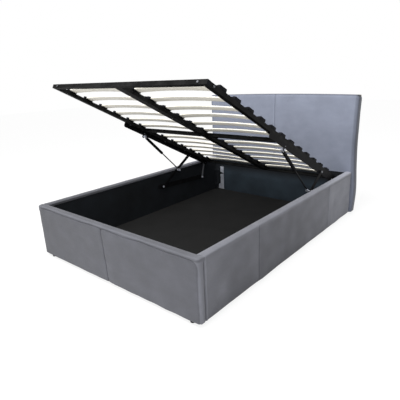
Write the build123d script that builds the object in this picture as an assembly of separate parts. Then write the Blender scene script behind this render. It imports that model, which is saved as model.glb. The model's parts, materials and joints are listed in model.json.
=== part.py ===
from build123d import *
import math
import os

os.makedirs("parts", exist_ok=True)

# Ottoman storage bed with its slat frame raised on two four-bar gas lifts.
# Millimetres. X runs across the bed, +Y towards the headboard, +Z up.
# The origin is on the floor, under the middle of the bed's length and width.

# Upholstered box
bed_width = 1470.0
box_length = 2000.0
rail_height = 354.0
board_thickness = 40.0
board_padding = 5.0
edge_round = 8.0
wrap_height = 20.0
lining_thickness = 3.0
seam_width = 6.0
seam_depth = 3.0

# Headboard
headboard_overhang = 15.0
headboard_height = 988.0
headboard_board = 42.0
headboard_padding = 30.0
headboard_side_padding = 10.0
headboard_backing = 3.0
headboard_round = 18.0
headboard_seam_depth = 5.0

# Panel inside the box at the head end
head_panel_thickness = 15.0

# Feet, floor and what carries the floor
foot_height = 25.0
foot_radius = 18.0
foot_taper = 4.0
foot_inset = 74.0
foot_setback = 26.0
floor_board_thickness = 3.0
floor_cloth_thickness = 1.0
floor_edge_gap = 1.0
ledge_thickness = 2.0
ledge_width = 85.0
ledge_setback = 10.0
ledge_end_gap = 60.0
bearer_width = 60.0
bearer_thickness = 18.0
bearer_end_gap = 25.0
glide_radius = 22.0
glide_count = 3

# Corner brackets, zinc-plated pressed steel
bracket_side_leg = 45.0
bracket_end_leg = 97.0
bracket_height = 242.0
bracket_thickness = 3.0
bracket_lift = 5.0
bracket_bolt_setback = 22.0
bracket_bolt_rise = 45.0
bracket_bolt_bite = 25.0

# Bolts and their fits
bolt_radius = 4.0
bolt_head_radius = 5.5
bolt_head_height = 4.0
bolt_tip = 8.0
pivot_radius = 5.0
pivot_head_radius = 9.0
pivot_head_height = 4.5
running_fit = 0.05
running_gap = 0.3

# Slat frame, measured in its own plane from the top of its foot end
frame_foot_gap = 47.5
frame_head_gap = 72.5
frame_side_gap = 26.0
side_tube_width = 30.0
end_tube_width = 25.0
centre_tube_width = 60.0
tube_height = 25.0
tube_wall = 1.5
cross_tube_from_head = 966.0
cap_thickness = 2.0

# Raised place of the slat frame
raised_tilt = 26.55
raised_head_setback = 151.6
raised_head_drop = 14.3

# Sprung slats and their plastic holders
slat_count = 13
slat_width = 53.0
slat_thickness = 8.0
slat_rise = 9.0
first_slat_from_foot = 130.0
last_slat_from_head = 56.0
holder_length = 60.0
holder_depth = 35.0
holder_height = 19.0
holder_floor = 3.0
holder_back = 4.0
holder_slot_height = 10.5
holder_side_clearance = 0.5
slat_end_gap = 2.0
inner_holder_setback = 2.5

# Lift hardware, each side
base_plate_thickness = 4.0
base_plate_width = 44.0
base_plate_overhang = 30.0
plate_screw_spacing = 140.0
front_pivot_from_headboard = 837.0
front_pivot_drop = 134.0
rear_pivot_from_headboard = 278.5
rear_pivot_drop = 164.0
arm_thickness = 5.0
front_arm_width = 28.0
rear_arm_width = 18.0
arm_gap = 11.0
lift_angle_thickness = 3.0
lift_angle_depth = 35.0
lift_angle_length = 1138.0
lift_angle_from_head = 44.0
lift_angle_corner = 16.0
lift_angle_ear = 13.0
frame_pivot_depth = 20.0
front_frame_pivot_from_head = 331.0
rear_frame_pivot_from_head = 74.0
strut_frame_pivot_from_head = 957.0
strut_pivot_depth = 42.0
strut_stay_bolt_depth = 19.0
strut_arm_share = 0.53
strut_arm_offset = 2.0
lift_screws_from_head = [1130.0, 710.0, 430.0, 180.0]
frame_corner_bolt_setback = 55.0

# Gas struts
strut_plane_inset = 18.0
strut_radius = 12.0
strut_wall = 1.5
strut_tube_length = 230.0
strut_gland_length = 12.0
rod_radius = 5.0
piston_length = 8.0
piston_setback = 20.0
piston_fit = 0.2
eye_radius = 10.0
eye_length = 14.0
eye_neck_radius = 6.0
eye_reach = 22.0
stud_radius = 4.0
stud_flange_radius = 8.0
stud_flange_thickness = 3.0

# One overrun for every through cut
overrun = 1.0


# Places that follow from the sizes above
panel_thickness = board_thickness + 2 * board_padding
headboard_thickness = headboard_padding + headboard_board + headboard_backing
foot_face = -(box_length + headboard_thickness) / 2
head_face = foot_face + box_length
headboard_rear = head_face + headboard_thickness
rail_outer = bed_width / 2
headboard_half = rail_outer + headboard_overhang
headboard_board_front = head_face + headboard_padding
rail_inner = rail_outer - panel_thickness
core_inner = rail_inner + board_padding
lining_face = core_inner - lining_thickness
foot_inner = foot_face + panel_thickness
foot_core_back = foot_inner - board_padding
lined_foot = foot_core_back + lining_thickness
lined_head = head_face - head_panel_thickness
underside = foot_height
rail_top = underside + rail_height
wrap_bottom = rail_top - wrap_height
floor_top = underside + floor_board_thickness + floor_cloth_thickness

frame_length = box_length - panel_thickness - frame_foot_gap - frame_head_gap
frame_half = bed_width / 2 - panel_thickness - frame_side_gap
slat_pitch = (frame_length - first_slat_from_foot - last_slat_from_head) / (slat_count - 1)
front_frame_pivot = frame_length - front_frame_pivot_from_head
rear_frame_pivot = frame_length - rear_frame_pivot_from_head
strut_frame_pivot = frame_length - strut_frame_pivot_from_head
lift_angle_end = frame_length - lift_angle_from_head
lift_angle_start = lift_angle_end - lift_angle_length
lift_screw_places = [frame_length - from_head for from_head in lift_screws_from_head]
cross_tube_middle = frame_length - cross_tube_from_head

plate_inner = lining_face - base_plate_thickness
arm_outer = plate_inner - arm_gap
arm_inner = arm_outer - arm_thickness
angle_inner = frame_half - lift_angle_thickness
strut_plane = frame_half - strut_plane_inset


def block(x_span, y_span, z_span):
    """A box between two values on each axis."""
    size = [span[1] - span[0] for span in (x_span, y_span, z_span)]
    middle = [(span[0] + span[1]) / 2 for span in (x_span, y_span, z_span)]
    return Pos(*middle) * Box(*size)


def rod_x(x_span, y, z, radius):
    """A round bar along X between two values of X."""
    length = x_span[1] - x_span[0]
    middle = (x_span[0] + x_span[1]) / 2
    return Pos(middle, y, z) * Rot(0, 90, 0) * Cylinder(radius, length)


def rod_y(x, y_span, z, radius):
    """A round bar along Y between two values of Y."""
    length = y_span[1] - y_span[0]
    middle = (y_span[0] + y_span[1]) / 2
    return Pos(x, middle, z) * Rot(90, 0, 0) * Cylinder(radius, length)


def rod_z(x, y, z_span, radius):
    """A round bar along Z between two values of Z."""
    length = z_span[1] - z_span[0]
    middle = (z_span[0] + z_span[1]) / 2
    return Pos(x, y, middle) * Cylinder(radius, length)


def hex_x(x_span, y, z, radius):
    """A hexagonal head or nut along X."""
    face = Plane.YZ.offset(x_span[0]) * Pos(y, z) * RegularPolygon(radius, 6)
    return extrude(face, x_span[1] - x_span[0])


def sideways(sketch, x_low, thickness):
    """A flat plate that stands in the YZ plane, thickened along +X."""
    return extrude(Plane.YZ.offset(x_low) * sketch, thickness)


def flipped(shape):
    """The same piece on the other side of the bed."""
    return mirror(shape, about=Plane.YZ)


def bar_outline(start, end, width):
    """A flat bar with round ends between two pivots in the YZ plane."""
    run = (end[0] - start[0], end[1] - start[1])
    middle = ((start[0] + end[0]) / 2, (start[1] + end[1]) / 2)
    turn = math.degrees(math.atan2(run[1], run[0]))
    return Pos(*middle) * Rot(0, 0, turn) * SlotCenterToCenter(math.hypot(*run), width)


def save(name, *solids):
    """Write one node, made of one or more separate solids."""
    shape = solids[0] if len(solids) == 1 else Compound(list(solids))
    export_step(shape, "parts/" + name + ".step")


# Base pivots on the rails, as (y, z)
front_base = (head_face - front_pivot_from_headboard, rail_top - front_pivot_drop)
rear_base = (head_face - rear_pivot_from_headboard, rail_top - rear_pivot_drop)

# The slat frame is built flat, with x across, y from its foot end towards
# its head end and z up from the top of its tubes, and is then raised.
raised_head_end = (0, head_face - raised_head_setback, rail_top - raised_head_drop)
raised = Location(raised_head_end, (-raised_tilt, 0, 0)) * Pos(0, -frame_length, 0)


def on_frame(along, below_tubes):
    """Where a point below the side tubes lies, as (y, z), once raised."""
    spot = (raised * Pos(0, along, -tube_height - below_tubes)).position
    return (spot.Y, spot.Z)


front_frame = on_frame(front_frame_pivot, frame_pivot_depth)
rear_frame = on_frame(rear_frame_pivot, frame_pivot_depth)
strut_top = on_frame(strut_frame_pivot, strut_pivot_depth)

arm_run = (front_frame[0] - front_base[0], front_frame[1] - front_base[1])
arm_length = math.hypot(*arm_run)
arm_side = (arm_run[1] / arm_length, -arm_run[0] / arm_length)
strut_foot = (
    front_base[0] + strut_arm_share * arm_run[0] + strut_arm_offset * arm_side[0],
    front_base[1] + strut_arm_share * arm_run[1] + strut_arm_offset * arm_side[1],
)


# Upholstered box: boards inside, fabric over thin padding outside
def rail_core():
    """The board inside the right rail."""
    return block(
        (core_inner, rail_outer - board_padding),
        (foot_inner, head_face),
        (underside, rail_top - board_padding),
    )


def rail_cover():
    """Padded fabric over the right rail: outer face, top and a short inner wrap."""
    outline = Pos((rail_inner + rail_outer) / 2, (underside + rail_top) / 2) * Rectangle(
        panel_thickness, rail_height
    )
    outline = fillet(outline.vertices().group_by(Axis.Y)[-1], edge_round)
    below_wrap = Pos((rail_inner + core_inner) / 2, (underside + wrap_bottom) / 2) * Rectangle(
        board_padding, wrap_bottom - underside
    )
    cover = extrude(Plane.XZ.offset(-head_face) * (outline - below_wrap), head_face - foot_inner)
    return cover - rail_core()


def footboard_core():
    """The board inside the footboard, as wide as the two rails and the box together."""
    return block(
        (-rail_outer + board_padding, rail_outer - board_padding),
        (foot_face + board_padding, foot_core_back),
        (underside, rail_top - board_padding),
    )


def seam_groove(y_front, z_span, depth):
    """The valley that a sewn vertical seam presses into a padded front."""
    valley = Polygon(
        (-seam_width / 2, -overrun), (seam_width / 2, -overrun), (0, depth), align=None
    )
    return extrude(Pos(0, y_front, z_span[0]) * valley, z_span[1] - z_span[0])


def footboard_cover():
    """Padded fabric over the footboard, with its centre seam."""
    cover = block((-rail_outer, rail_outer), (foot_face, foot_inner), (underside, rail_top))
    front_edges = cover.edges().filter_by(Axis.Z).group_by(Axis.Y)[0]
    top_edges = cover.faces().sort_by(Axis.Z)[-1].edges()
    cover = fillet(front_edges + top_edges, edge_round)
    below_wrap = block(
        (-core_inner, core_inner), (foot_core_back, foot_inner + overrun), (underside, wrap_bottom)
    )
    groove = seam_groove(foot_face, (underside, rail_top), seam_depth)
    return cover - below_wrap - footboard_core() - groove


def headboard_core():
    """The board inside the headboard."""
    half = headboard_half - headboard_side_padding
    top = underside + headboard_height - headboard_side_padding
    y_span = (headboard_board_front, headboard_board_front + headboard_board)
    return block((-half, half), y_span, (underside, top))


def headboard_cover():
    """Padded fabric over the headboard's front, sides and top, with its centre seam."""
    top = underside + headboard_height
    rear = headboard_rear - headboard_backing
    cover = block((-headboard_half, headboard_half), (head_face, rear), (underside, top))
    front_edges = cover.edges().filter_by(Axis.Z).group_by(Axis.Y)[0]
    top_edges = cover.faces().sort_by(Axis.Z)[-1].edges()
    cover = fillet(front_edges + top_edges.group_by(Axis.Y)[0], headboard_round)
    groove = seam_groove(head_face, (underside, top), headboard_seam_depth)
    return cover - headboard_core() - groove


def headboard_back():
    """The cloth-faced sheet that closes the headboard's back."""
    half = headboard_half - headboard_side_padding / 2
    top = underside + headboard_height - headboard_side_padding / 2
    return block((-half, half), (headboard_rear - headboard_backing, headboard_rear), (underside, top))


def side_lining():
    """Black lining cloth on the inside of the right rail, below the fabric wrap."""
    return block(
        (lining_face, core_inner),
        (foot_core_back, head_face),
        (floor_top, wrap_bottom),
    )


def foot_lining():
    """Black lining cloth on the inside of the footboard, below the fabric wrap."""
    return block(
        (-lining_face, lining_face),
        (foot_core_back, lined_foot),
        (floor_top, wrap_bottom),
    )


def head_panel():
    """Black cloth-covered board that closes the box below the headboard."""
    low = block((-lining_face, lining_face), (lined_head, head_face), (floor_top, wrap_bottom))
    high = block((-rail_inner, rail_inner), (lined_head, head_face), (wrap_bottom, rail_top - edge_round))
    return low + high


# Floor of the box
floor_middle = (foot_core_back + head_face) / 2
floor_half = core_inner - floor_edge_gap


def floor_board(y_span):
    """One of the two thin boards that lie on the ledges and the bearer."""
    z_span = (underside, underside + floor_board_thickness)
    return block((-floor_half, floor_half), y_span, z_span)


def floor_cloth():
    """Dark felt over both floor boards."""
    return block(
        (-floor_half, floor_half),
        (foot_core_back, head_face),
        (underside + floor_board_thickness, floor_top),
    )


def side_ledge():
    """Flat steel strip under the right rail that carries the floor's edge."""
    outer = rail_outer - ledge_setback
    return block(
        (outer - ledge_width, outer),
        (foot_face + ledge_end_gap, head_face - ledge_setback),
        (underside - ledge_thickness, underside),
    )


def foot_ledge():
    """Flat steel strip under the footboard, between the side strips."""
    half = rail_outer - ledge_setback - ledge_width - floor_edge_gap
    return block(
        (-half, half),
        (foot_face + ledge_setback, foot_face + ledge_setback + ledge_width),
        (underside - ledge_thickness, underside),
    )


bearer_span = (foot_face + ledge_setback + ledge_width + floor_edge_gap, head_face - bearer_end_gap)
bearer_low = underside - bearer_thickness


def floor_bearer():
    """Timber bearer under the middle of the floor."""
    return block((-bearer_width / 2, bearer_width / 2), bearer_span, (bearer_low, underside))


def bearer_glides():
    """Plastic glides under the bearer."""
    reach = bearer_span[1] - bearer_span[0]
    places = [bearer_span[0] + reach * (i + 1) / (glide_count + 1) for i in range(glide_count)]
    return [rod_z(0, y, (0, bearer_low), glide_radius) for y in places]


def feet():
    """Four tapered plastic feet, under the footboard and the headboard."""
    low_radius = foot_radius - foot_taper
    foot = Pos(0, 0, foot_height / 2) * Cone(low_radius, foot_radius, foot_height)
    x = rail_outer - foot_inset
    rows = [foot_face + foot_setback, headboard_board_front + headboard_board / 2]
    return [Pos(side * x, y, 0) * foot for y in rows for side in (-1, 1)]


# Corner brackets and their bolts
bracket_low = floor_top + bracket_lift
bracket_span = (bracket_low, bracket_low + bracket_height)
bracket_bolt_heights = [bracket_span[0] + bracket_bolt_rise, bracket_span[1] - bracket_bolt_rise]
bracket_side_face = lining_face - bracket_thickness
bracket_foot_face = lined_foot + bracket_thickness
bracket_head_face = lined_head - bracket_thickness


def bracket_bolt_bars(fit):
    """Where the bolts of the two right-hand corners run, wider by the fit."""
    radius = bolt_radius + fit
    side_span = (bracket_side_face, core_inner + bracket_bolt_bite)
    foot_span = (foot_core_back - bracket_bolt_bite, bracket_foot_face)
    head_span = (bracket_head_face, headboard_board_front + bracket_bolt_bite)
    end_x = lining_face - bracket_bolt_setback
    bars = []
    for z in bracket_bolt_heights:
        bars.append(rod_x(side_span, lined_foot + bracket_bolt_setback, z, radius))
        bars.append(rod_x(side_span, lined_head - bracket_bolt_setback, z, radius))
        bars.append(rod_y(end_x, foot_span, z, radius))
        bars.append(rod_y(end_x, head_span, z, radius))
    return bars


def corner_bracket(y_corner, towards_head):
    """Angle bracket in a right-hand corner of the box."""
    step = towards_head * bracket_thickness
    reach = towards_head * bracket_side_leg
    on_rail = block(
        (lining_face - bracket_thickness, lining_face), sorted((y_corner, y_corner + reach)), bracket_span
    )
    on_end = block(
        (lining_face - bracket_end_leg, lining_face), sorted((y_corner, y_corner + step)), bracket_span
    )
    bracket = on_rail + on_end
    for bore in bracket_bolt_bars(running_fit):
        bracket = bracket - bore
    return bracket


def corner_bolts():
    """Bolts of the two right-hand corners, heads inside the box."""
    shanks = bracket_bolt_bars(0)
    side_span = (bracket_side_face - bolt_head_height, bracket_side_face)
    foot_span = (bracket_foot_face, bracket_foot_face + bolt_head_height)
    head_span = (bracket_head_face - bolt_head_height, bracket_head_face)
    end_x = lining_face - bracket_bolt_setback
    heads = []
    for z in bracket_bolt_heights:
        heads.append(rod_x(side_span, lined_foot + bracket_bolt_setback, z, bolt_head_radius))
        heads.append(rod_x(side_span, lined_head - bracket_bolt_setback, z, bolt_head_radius))
        heads.append(rod_y(end_x, foot_span, z, bolt_head_radius))
        heads.append(rod_y(end_x, head_span, z, bolt_head_radius))
    return [head + shank for head, shank in zip(heads, shanks)]


def bored(shape):
    """The piece with the corner bolts' holes, on both sides of the bed."""
    for bore in bracket_bolt_bars(running_fit):
        shape = shape - bore - flipped(bore)
    return shape


# Lift hardware that stays on the rails
def plate_ends():
    """Where the base plate starts and ends, past its two pivots."""
    run = (rear_base[0] - front_base[0], rear_base[1] - front_base[1])
    length = math.hypot(*run)
    step = (base_plate_overhang * run[0] / length, base_plate_overhang * run[1] / length)
    start = (front_base[0] - step[0], front_base[1] - step[1])
    end = (rear_base[0] + step[0], rear_base[1] + step[1])
    return start, end


def plate_screw_spots():
    """Screws along the base plate, evenly spaced between the pivots."""
    run = (rear_base[0] - front_base[0], rear_base[1] - front_base[1])
    count = max(2, int(math.hypot(*run) // plate_screw_spacing))
    shares = [(i + 0.5) / count for i in range(count)]
    return [(front_base[0] + s * run[0], front_base[1] + s * run[1]) for s in shares]


def base_plate():
    """Flat steel bar that carries both base pivots of the right-hand lift."""
    start, end = plate_ends()
    plate = sideways(bar_outline(start, end, base_plate_width), plate_inner, base_plate_thickness)
    span = (plate_inner - overrun, lining_face + overrun)
    for y, z in (front_base, rear_base):
        plate = plate - rod_x(span, y, z, pivot_radius + running_fit)
    for y, z in plate_screw_spots():
        plate = plate - rod_x(span, y, z, bolt_radius + running_fit)
    return plate


def plate_screws():
    """Screws that hold the right-hand base plate to the rail's board."""
    screws = []
    for y, z in plate_screw_spots():
        head = rod_x((plate_inner - bolt_head_height, plate_inner), y, z, bolt_head_radius)
        screws.append(head + rod_x((plate_inner, core_inner + board_thickness / 2), y, z, bolt_radius))
    return screws


def screw_bores():
    """Bars where the base plate's screws run through the lining and the board."""
    span = (plate_inner, core_inner + board_thickness / 2)
    return [rod_x(span, y, z, bolt_radius + running_fit) for y, z in plate_screw_spots()]


def base_pivot(y, z):
    """Shouldered pivot pin fixed in the base plate, head inboard of the arm."""
    head_span = (arm_inner - running_gap - pivot_head_height, arm_inner - running_gap)
    head = rod_x(head_span, y, z, pivot_head_radius)
    return head + rod_x((head_span[1], lining_face), y, z, pivot_radius)


def base_spacer(y, z):
    """Ring that holds the arm off the base plate."""
    span = (arm_outer + running_gap, plate_inner)
    return rod_x(span, y, z, pivot_head_radius) - rod_x(span, y, z, pivot_radius + running_fit)


# Moving arms
def front_arm():
    """Long front arm of the right-hand lift, with the strut's stud hole."""
    arm = sideways(bar_outline(front_base, front_frame, front_arm_width), arm_inner, arm_thickness)
    span = (arm_inner - overrun, arm_outer + overrun)
    for y, z in (front_base, front_frame):
        arm = arm - rod_x(span, y, z, pivot_radius + running_fit)
    return arm - rod_x(span, strut_foot[0], strut_foot[1], stud_radius + running_fit)


def arm_stud():
    """Stud on the front arm that the strut's lower eye sits on."""
    y, z = strut_foot
    flange = rod_x((arm_outer, arm_outer + stud_flange_thickness), y, z, stud_flange_radius)
    collar = rod_x((arm_inner - stud_flange_thickness, arm_inner), y, z, stud_flange_radius)
    end = strut_plane + eye_length / 2 + running_gap
    return flange + collar + rod_x((end, arm_outer), y, z, stud_radius)


def rear_arm():
    """Short rear arm of the right-hand lift."""
    arm = sideways(bar_outline(rear_base, rear_frame, rear_arm_width), arm_inner, arm_thickness)
    span = (arm_inner - overrun, arm_outer + overrun)
    for y, z in (rear_base, rear_frame):
        arm = arm - rod_x(span, y, z, pivot_radius + running_fit)
    return arm


def rear_arm_pin():
    """Headed pin at the upper end of the rear arm, flush with the arm inboard."""
    y, z = rear_frame
    head = rod_x((arm_outer, arm_outer + pivot_head_height), y, z, pivot_head_radius)
    return head + rod_x((arm_inner, arm_outer), y, z, pivot_radius)


# Slat frame, drawn flat in its own plane
def tube_y(x_span, y_span):
    """A rectangular steel tube along the frame."""
    outer = block(x_span, y_span, (-tube_height, 0))
    bore = block(
        (x_span[0] + tube_wall, x_span[1] - tube_wall),
        (y_span[0] - overrun, y_span[1] + overrun),
        (-tube_height + tube_wall, -tube_wall),
    )
    return outer - bore


def tube_x(x_span, y_span):
    """A rectangular steel tube across the frame."""
    outer = block(x_span, y_span, (-tube_height, 0))
    bore = block(
        (x_span[0] - overrun, x_span[1] + overrun),
        (y_span[0] + tube_wall, y_span[1] - tube_wall),
        (-tube_height + tube_wall, -tube_wall),
    )
    return outer - bore


tube_run = (end_tube_width, frame_length - end_tube_width)
side_tube_inner = frame_half - side_tube_width
cross_span = (cross_tube_middle - end_tube_width / 2, cross_tube_middle + end_tube_width / 2)
angle_top = -tube_height
angle_seat = angle_top - lift_angle_thickness
angle_low = angle_top - lift_angle_depth


def stay_bolt_bar(fit):
    """Where the bolt above the strut's stud goes through the lift angle's upright leg."""
    span = (angle_inner, frame_half)
    return rod_x(span, strut_frame_pivot, angle_top - strut_stay_bolt_depth, bolt_radius + fit)


def lift_screw_bar(x, y, fit):
    """Where a screw goes up through the lift angle into the side tube."""
    return rod_z(x, y, (angle_seat, angle_top + tube_wall + bolt_tip), bolt_radius + fit)


def corner_bolt_bars(fit):
    """Bolts of the right-hand foot corner: one into the side tube, one into the foot tube."""
    middle = -tube_height / 2
    radius = bolt_radius + fit
    reach = tube_wall + bolt_tip
    return [
        rod_x((frame_half - reach, frame_half), frame_corner_bolt_setback, middle, radius),
        rod_y(frame_half - frame_corner_bolt_setback, (0, reach), middle, radius),
    ]


def side_tube():
    """Right-hand side tube of the slat frame."""
    tube = tube_y((side_tube_inner, frame_half), tube_run)
    x = (side_tube_inner + frame_half) / 2
    for y in lift_screw_places:
        tube = tube - lift_screw_bar(x, y, running_fit)
    return tube - corner_bolt_bars(running_fit)[0]


def foot_tube():
    """Tube across the foot end."""
    tube = tube_x((-frame_half, frame_half), (0, end_tube_width))
    bar = corner_bolt_bars(running_fit)[1]
    return tube - bar - flipped(bar)


def head_tube():
    """Tube across the head end."""
    return tube_x((-frame_half, frame_half), (frame_length - end_tube_width, frame_length))


def centre_tube():
    """Wide flat tube down the middle."""
    return tube_y((-centre_tube_width / 2, centre_tube_width / 2), tube_run)


def cross_tube():
    """Right-hand half of the cross tube."""
    return tube_x((centre_tube_width / 2, side_tube_inner), cross_span)


def tube_caps():
    """Plastic caps in the four open tube ends."""
    caps = []
    for y_span in ((0, end_tube_width), (frame_length - end_tube_width, frame_length)):
        face = block((frame_half, frame_half + cap_thickness), y_span, (-tube_height, 0))
        plug = block(
            (frame_half - end_tube_width / 2, frame_half),
            (y_span[0] + tube_wall, y_span[1] - tube_wall),
            (-tube_height + tube_wall, -tube_wall),
        )
        caps += [face + plug, flipped(face + plug)]
    return caps


def slat_place(index):
    """How far a slat's middle lies from the foot end."""
    return first_slat_from_foot + index * slat_pitch


holder_outer_x = (frame_half - holder_depth, frame_half)
holder_inner_x = (inner_holder_setback, inner_holder_setback + holder_depth)
slat_x = (holder_inner_x[0] + holder_back + slat_end_gap, holder_outer_x[1] - holder_back - slat_end_gap)


def slat(index):
    """One sprung slat of the right-hand column, bowed upwards."""
    middle = (slat_x[0] + slat_x[1]) / 2
    low = ThreePointArc(
        (slat_x[0], holder_floor), (middle, holder_floor + slat_rise), (slat_x[1], holder_floor)
    )
    top = holder_floor + slat_thickness
    high = ThreePointArc((slat_x[1], top), (middle, top + slat_rise), (slat_x[0], top))
    ends = [Line(low @ 1, high @ 0), Line(high @ 1, low @ 0)]
    face = Plane.XZ * make_face([low, ends[0], high, ends[1]])
    y = slat_place(index)
    return Pos(0, y + slat_width / 2, 0) * extrude(face, slat_width)


def holder(index, x_span, opens_inboard):
    """Plastic cap that holds one end of a slat, open on the slat's side."""
    y = slat_place(index)
    body = block(x_span, (y - holder_length / 2, y + holder_length / 2), (0, holder_height))
    half_slot = slat_width / 2 + holder_side_clearance
    if opens_inboard:
        slot_x = (x_span[0] - overrun, x_span[1] - holder_back)
    else:
        slot_x = (x_span[0] + holder_back, x_span[1] + overrun)
    slot_z = (holder_floor, holder_floor + holder_slot_height)
    return body - block(slot_x, (y - half_slot, y + half_slot), slot_z)


def lift_angle():
    """Steel angle under the right-hand side tube that carries the frame pivots."""
    length = lift_angle_end - lift_angle_start
    middle_y = (lift_angle_start + lift_angle_end) / 2
    leg = Pos(middle_y, (angle_top + angle_low) / 2) * Rectangle(length, lift_angle_depth)
    leg = fillet(leg.vertices().group_by(Axis.Y)[0], lift_angle_corner)
    leg += Pos(strut_frame_pivot, angle_top - strut_pivot_depth) * Circle(lift_angle_ear)
    angle = sideways(leg, angle_inner, lift_angle_thickness)
    angle += block(
        (side_tube_inner, frame_half), (lift_angle_start, lift_angle_end), (angle_seat, angle_top)
    )
    span = (angle_inner - overrun, frame_half + overrun)
    pivot_z = angle_top - frame_pivot_depth
    for y in (front_frame_pivot, rear_frame_pivot):
        angle -= rod_x(span, y, pivot_z, pivot_radius + running_fit)
    angle -= stay_bolt_bar(running_fit)
    angle -= rod_x(span, strut_frame_pivot, angle_top - strut_pivot_depth, stud_radius + running_fit)
    x = (side_tube_inner + frame_half) / 2
    for y in lift_screw_places:
        angle -= lift_screw_bar(x, y, running_fit)
    return angle


def frame_bolts():
    """Screws and one stay bolt of the right-hand lift angle, and bolts of the right foot corner."""
    x = (side_tube_inner + frame_half) / 2
    bolts = []
    for y in lift_screw_places:
        head = rod_z(x, y, (angle_seat - bolt_head_height, angle_seat), bolt_head_radius)
        bolts.append(head + lift_screw_bar(x, y, 0))
    side_bar, end_bar = corner_bolt_bars(0)
    middle = -tube_height / 2
    side_head = rod_x(
        (frame_half, frame_half + bolt_head_height), frame_corner_bolt_setback, middle, bolt_head_radius
    )
    end_head = rod_y(
        frame_half - frame_corner_bolt_setback, (-bolt_head_height, 0), middle, bolt_head_radius
    )
    stay_head = rod_x(
        (angle_inner - bolt_head_height, angle_inner),
        strut_frame_pivot,
        angle_top - strut_stay_bolt_depth,
        bolt_head_radius,
    )
    return bolts + [side_head + side_bar, end_head + end_bar, stay_head + stay_bolt_bar(0)]


def frame_pivot():
    """Pivot bolt of the right-hand front arm, head outboard of the arm."""
    z = angle_top - frame_pivot_depth
    head_span = (arm_outer + running_gap, arm_outer + running_gap + pivot_head_height)
    head = rod_x(head_span, front_frame_pivot, z, pivot_head_radius)
    low = angle_inner - pivot_head_height
    return head + rod_x((low, head_span[0]), front_frame_pivot, z, pivot_radius)


def frame_pivot_nut(along):
    """Nut inside the lift angle at one of its pivots."""
    z = angle_top - frame_pivot_depth
    span = (angle_inner - pivot_head_height, angle_inner)
    return hex_x(span, along, z, pivot_head_radius) - rod_x(span, along, z, pivot_radius + running_fit)


def frame_spacer():
    """Ring between the lift angle and the right-hand front arm."""
    z = angle_top - frame_pivot_depth
    span = (frame_half, arm_inner - running_gap)
    bore = rod_x(span, front_frame_pivot, z, pivot_radius + running_fit)
    return rod_x(span, front_frame_pivot, z, pivot_head_radius) - bore


def rear_frame_stud():
    """Shouldered stud of the lift angle that faces the rear arm's upper end."""
    z = angle_top - frame_pivot_depth
    shoulder = rod_x((frame_half, arm_inner - running_gap), rear_frame_pivot, z, pivot_head_radius)
    shank = rod_x((angle_inner - pivot_head_height, frame_half), rear_frame_pivot, z, pivot_radius)
    return shoulder + shank


def frame_stud():
    """Stud on the lift angle that carries the strut's upper eye."""
    z = angle_top - strut_pivot_depth
    flange = rod_x((frame_half, frame_half + stud_flange_thickness), strut_frame_pivot, z, stud_flange_radius)
    end = strut_plane - eye_length / 2 - running_gap
    tip = rod_x((end - stud_flange_thickness, end), strut_frame_pivot, z, stud_radius + tube_wall)
    return flange + tip + rod_x((end, frame_half), strut_frame_pivot, z, stud_radius)


# Gas strut, drawn along +X of its own axis from the upper eye, then laid in place
strut_run = (strut_foot[0] - strut_top[0], strut_foot[1] - strut_top[1])
strut_length = math.hypot(*strut_run)
tube_span = (eye_reach, eye_reach + strut_tube_length)
piston_end = tube_span[1] - strut_gland_length - piston_setback

# Strut space: x along the strut, y sideways in the YZ plane, z across the bed
strut_place = Location((strut_plane, strut_top[0], strut_top[1]), (0, 0, 0)) * Location(
    Plane((0, 0, 0), x_dir=(0, strut_run[0], strut_run[1]), z_dir=(1, 0, 0))
)


def along_strut(span, radius):
    """A round bar on the strut's axis."""
    return Pos((span[0] + span[1]) / 2, 0, 0) * Rot(0, 90, 0) * Cylinder(radius, span[1] - span[0])


def eye(at, towards):
    """End fitting: a barrel across the strut, with a neck along it."""
    barrel = Pos(at, 0, 0) * Cylinder(eye_radius, eye_length)
    return barrel + along_strut(sorted((at, at + towards * eye_reach)), eye_neck_radius)


def strut_cylinder():
    """Hollow pressure tube with a closed top and a bored gland."""
    tube = along_strut(tube_span, strut_radius)
    hollow = along_strut(
        (tube_span[0] + strut_wall, tube_span[1] - strut_gland_length), strut_radius - strut_wall
    )
    gland = along_strut(
        (tube_span[1] - strut_gland_length - overrun, tube_span[1] + overrun), rod_radius + running_fit
    )
    return strut_place * (tube - hollow - gland)


def strut_upper_eye():
    """Bored eye on the top of the pressure tube."""
    return strut_place * (eye(0, 1) - Cylinder(stud_radius + running_fit, eye_length + overrun))


def strut_rod():
    """Piston rod with its piston inside the tube."""
    rod = along_strut((piston_end, strut_length - eye_reach), rod_radius)
    piston = along_strut((piston_end - piston_length, piston_end), strut_radius - strut_wall - piston_fit)
    return strut_place * (rod + piston)


def strut_lower_eye():
    """Capped eye on the end of the piston rod, facing the stud of the front arm."""
    cap_z = -(eye_length + cap_thickness) / 2
    cap = Pos(strut_length, 0, cap_z) * Cylinder(stud_radius + cap_thickness, cap_thickness)
    return strut_place * (eye(strut_length, -1) + cap)


def both(shape):
    """A right-hand piece and its mirror image."""
    return [shape, flipped(shape)]


# The box
rail_board = rail_core()
side_cloth = side_lining()
for bore in bracket_bolt_bars(running_fit) + screw_bores():
    rail_board = rail_board - bore
    side_cloth = side_cloth - bore
save("right_rail_board", rail_board)
save("left_rail_board", flipped(rail_board))
save("right_rail_cover", rail_cover())
save("left_rail_cover", flipped(rail_cover()))
save("right_rail_lining", side_cloth)
save("left_rail_lining", flipped(side_cloth))
save("footboard_board", bored(footboard_core()))
save("footboard_cover", footboard_cover())
save("footboard_lining", bored(foot_lining()))
save("headboard_board", bored(headboard_core()))
save("headboard_cover", bored(headboard_cover()))
save("headboard_back_sheet", headboard_back())
save("head_end_panel", bored(head_panel()))

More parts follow.
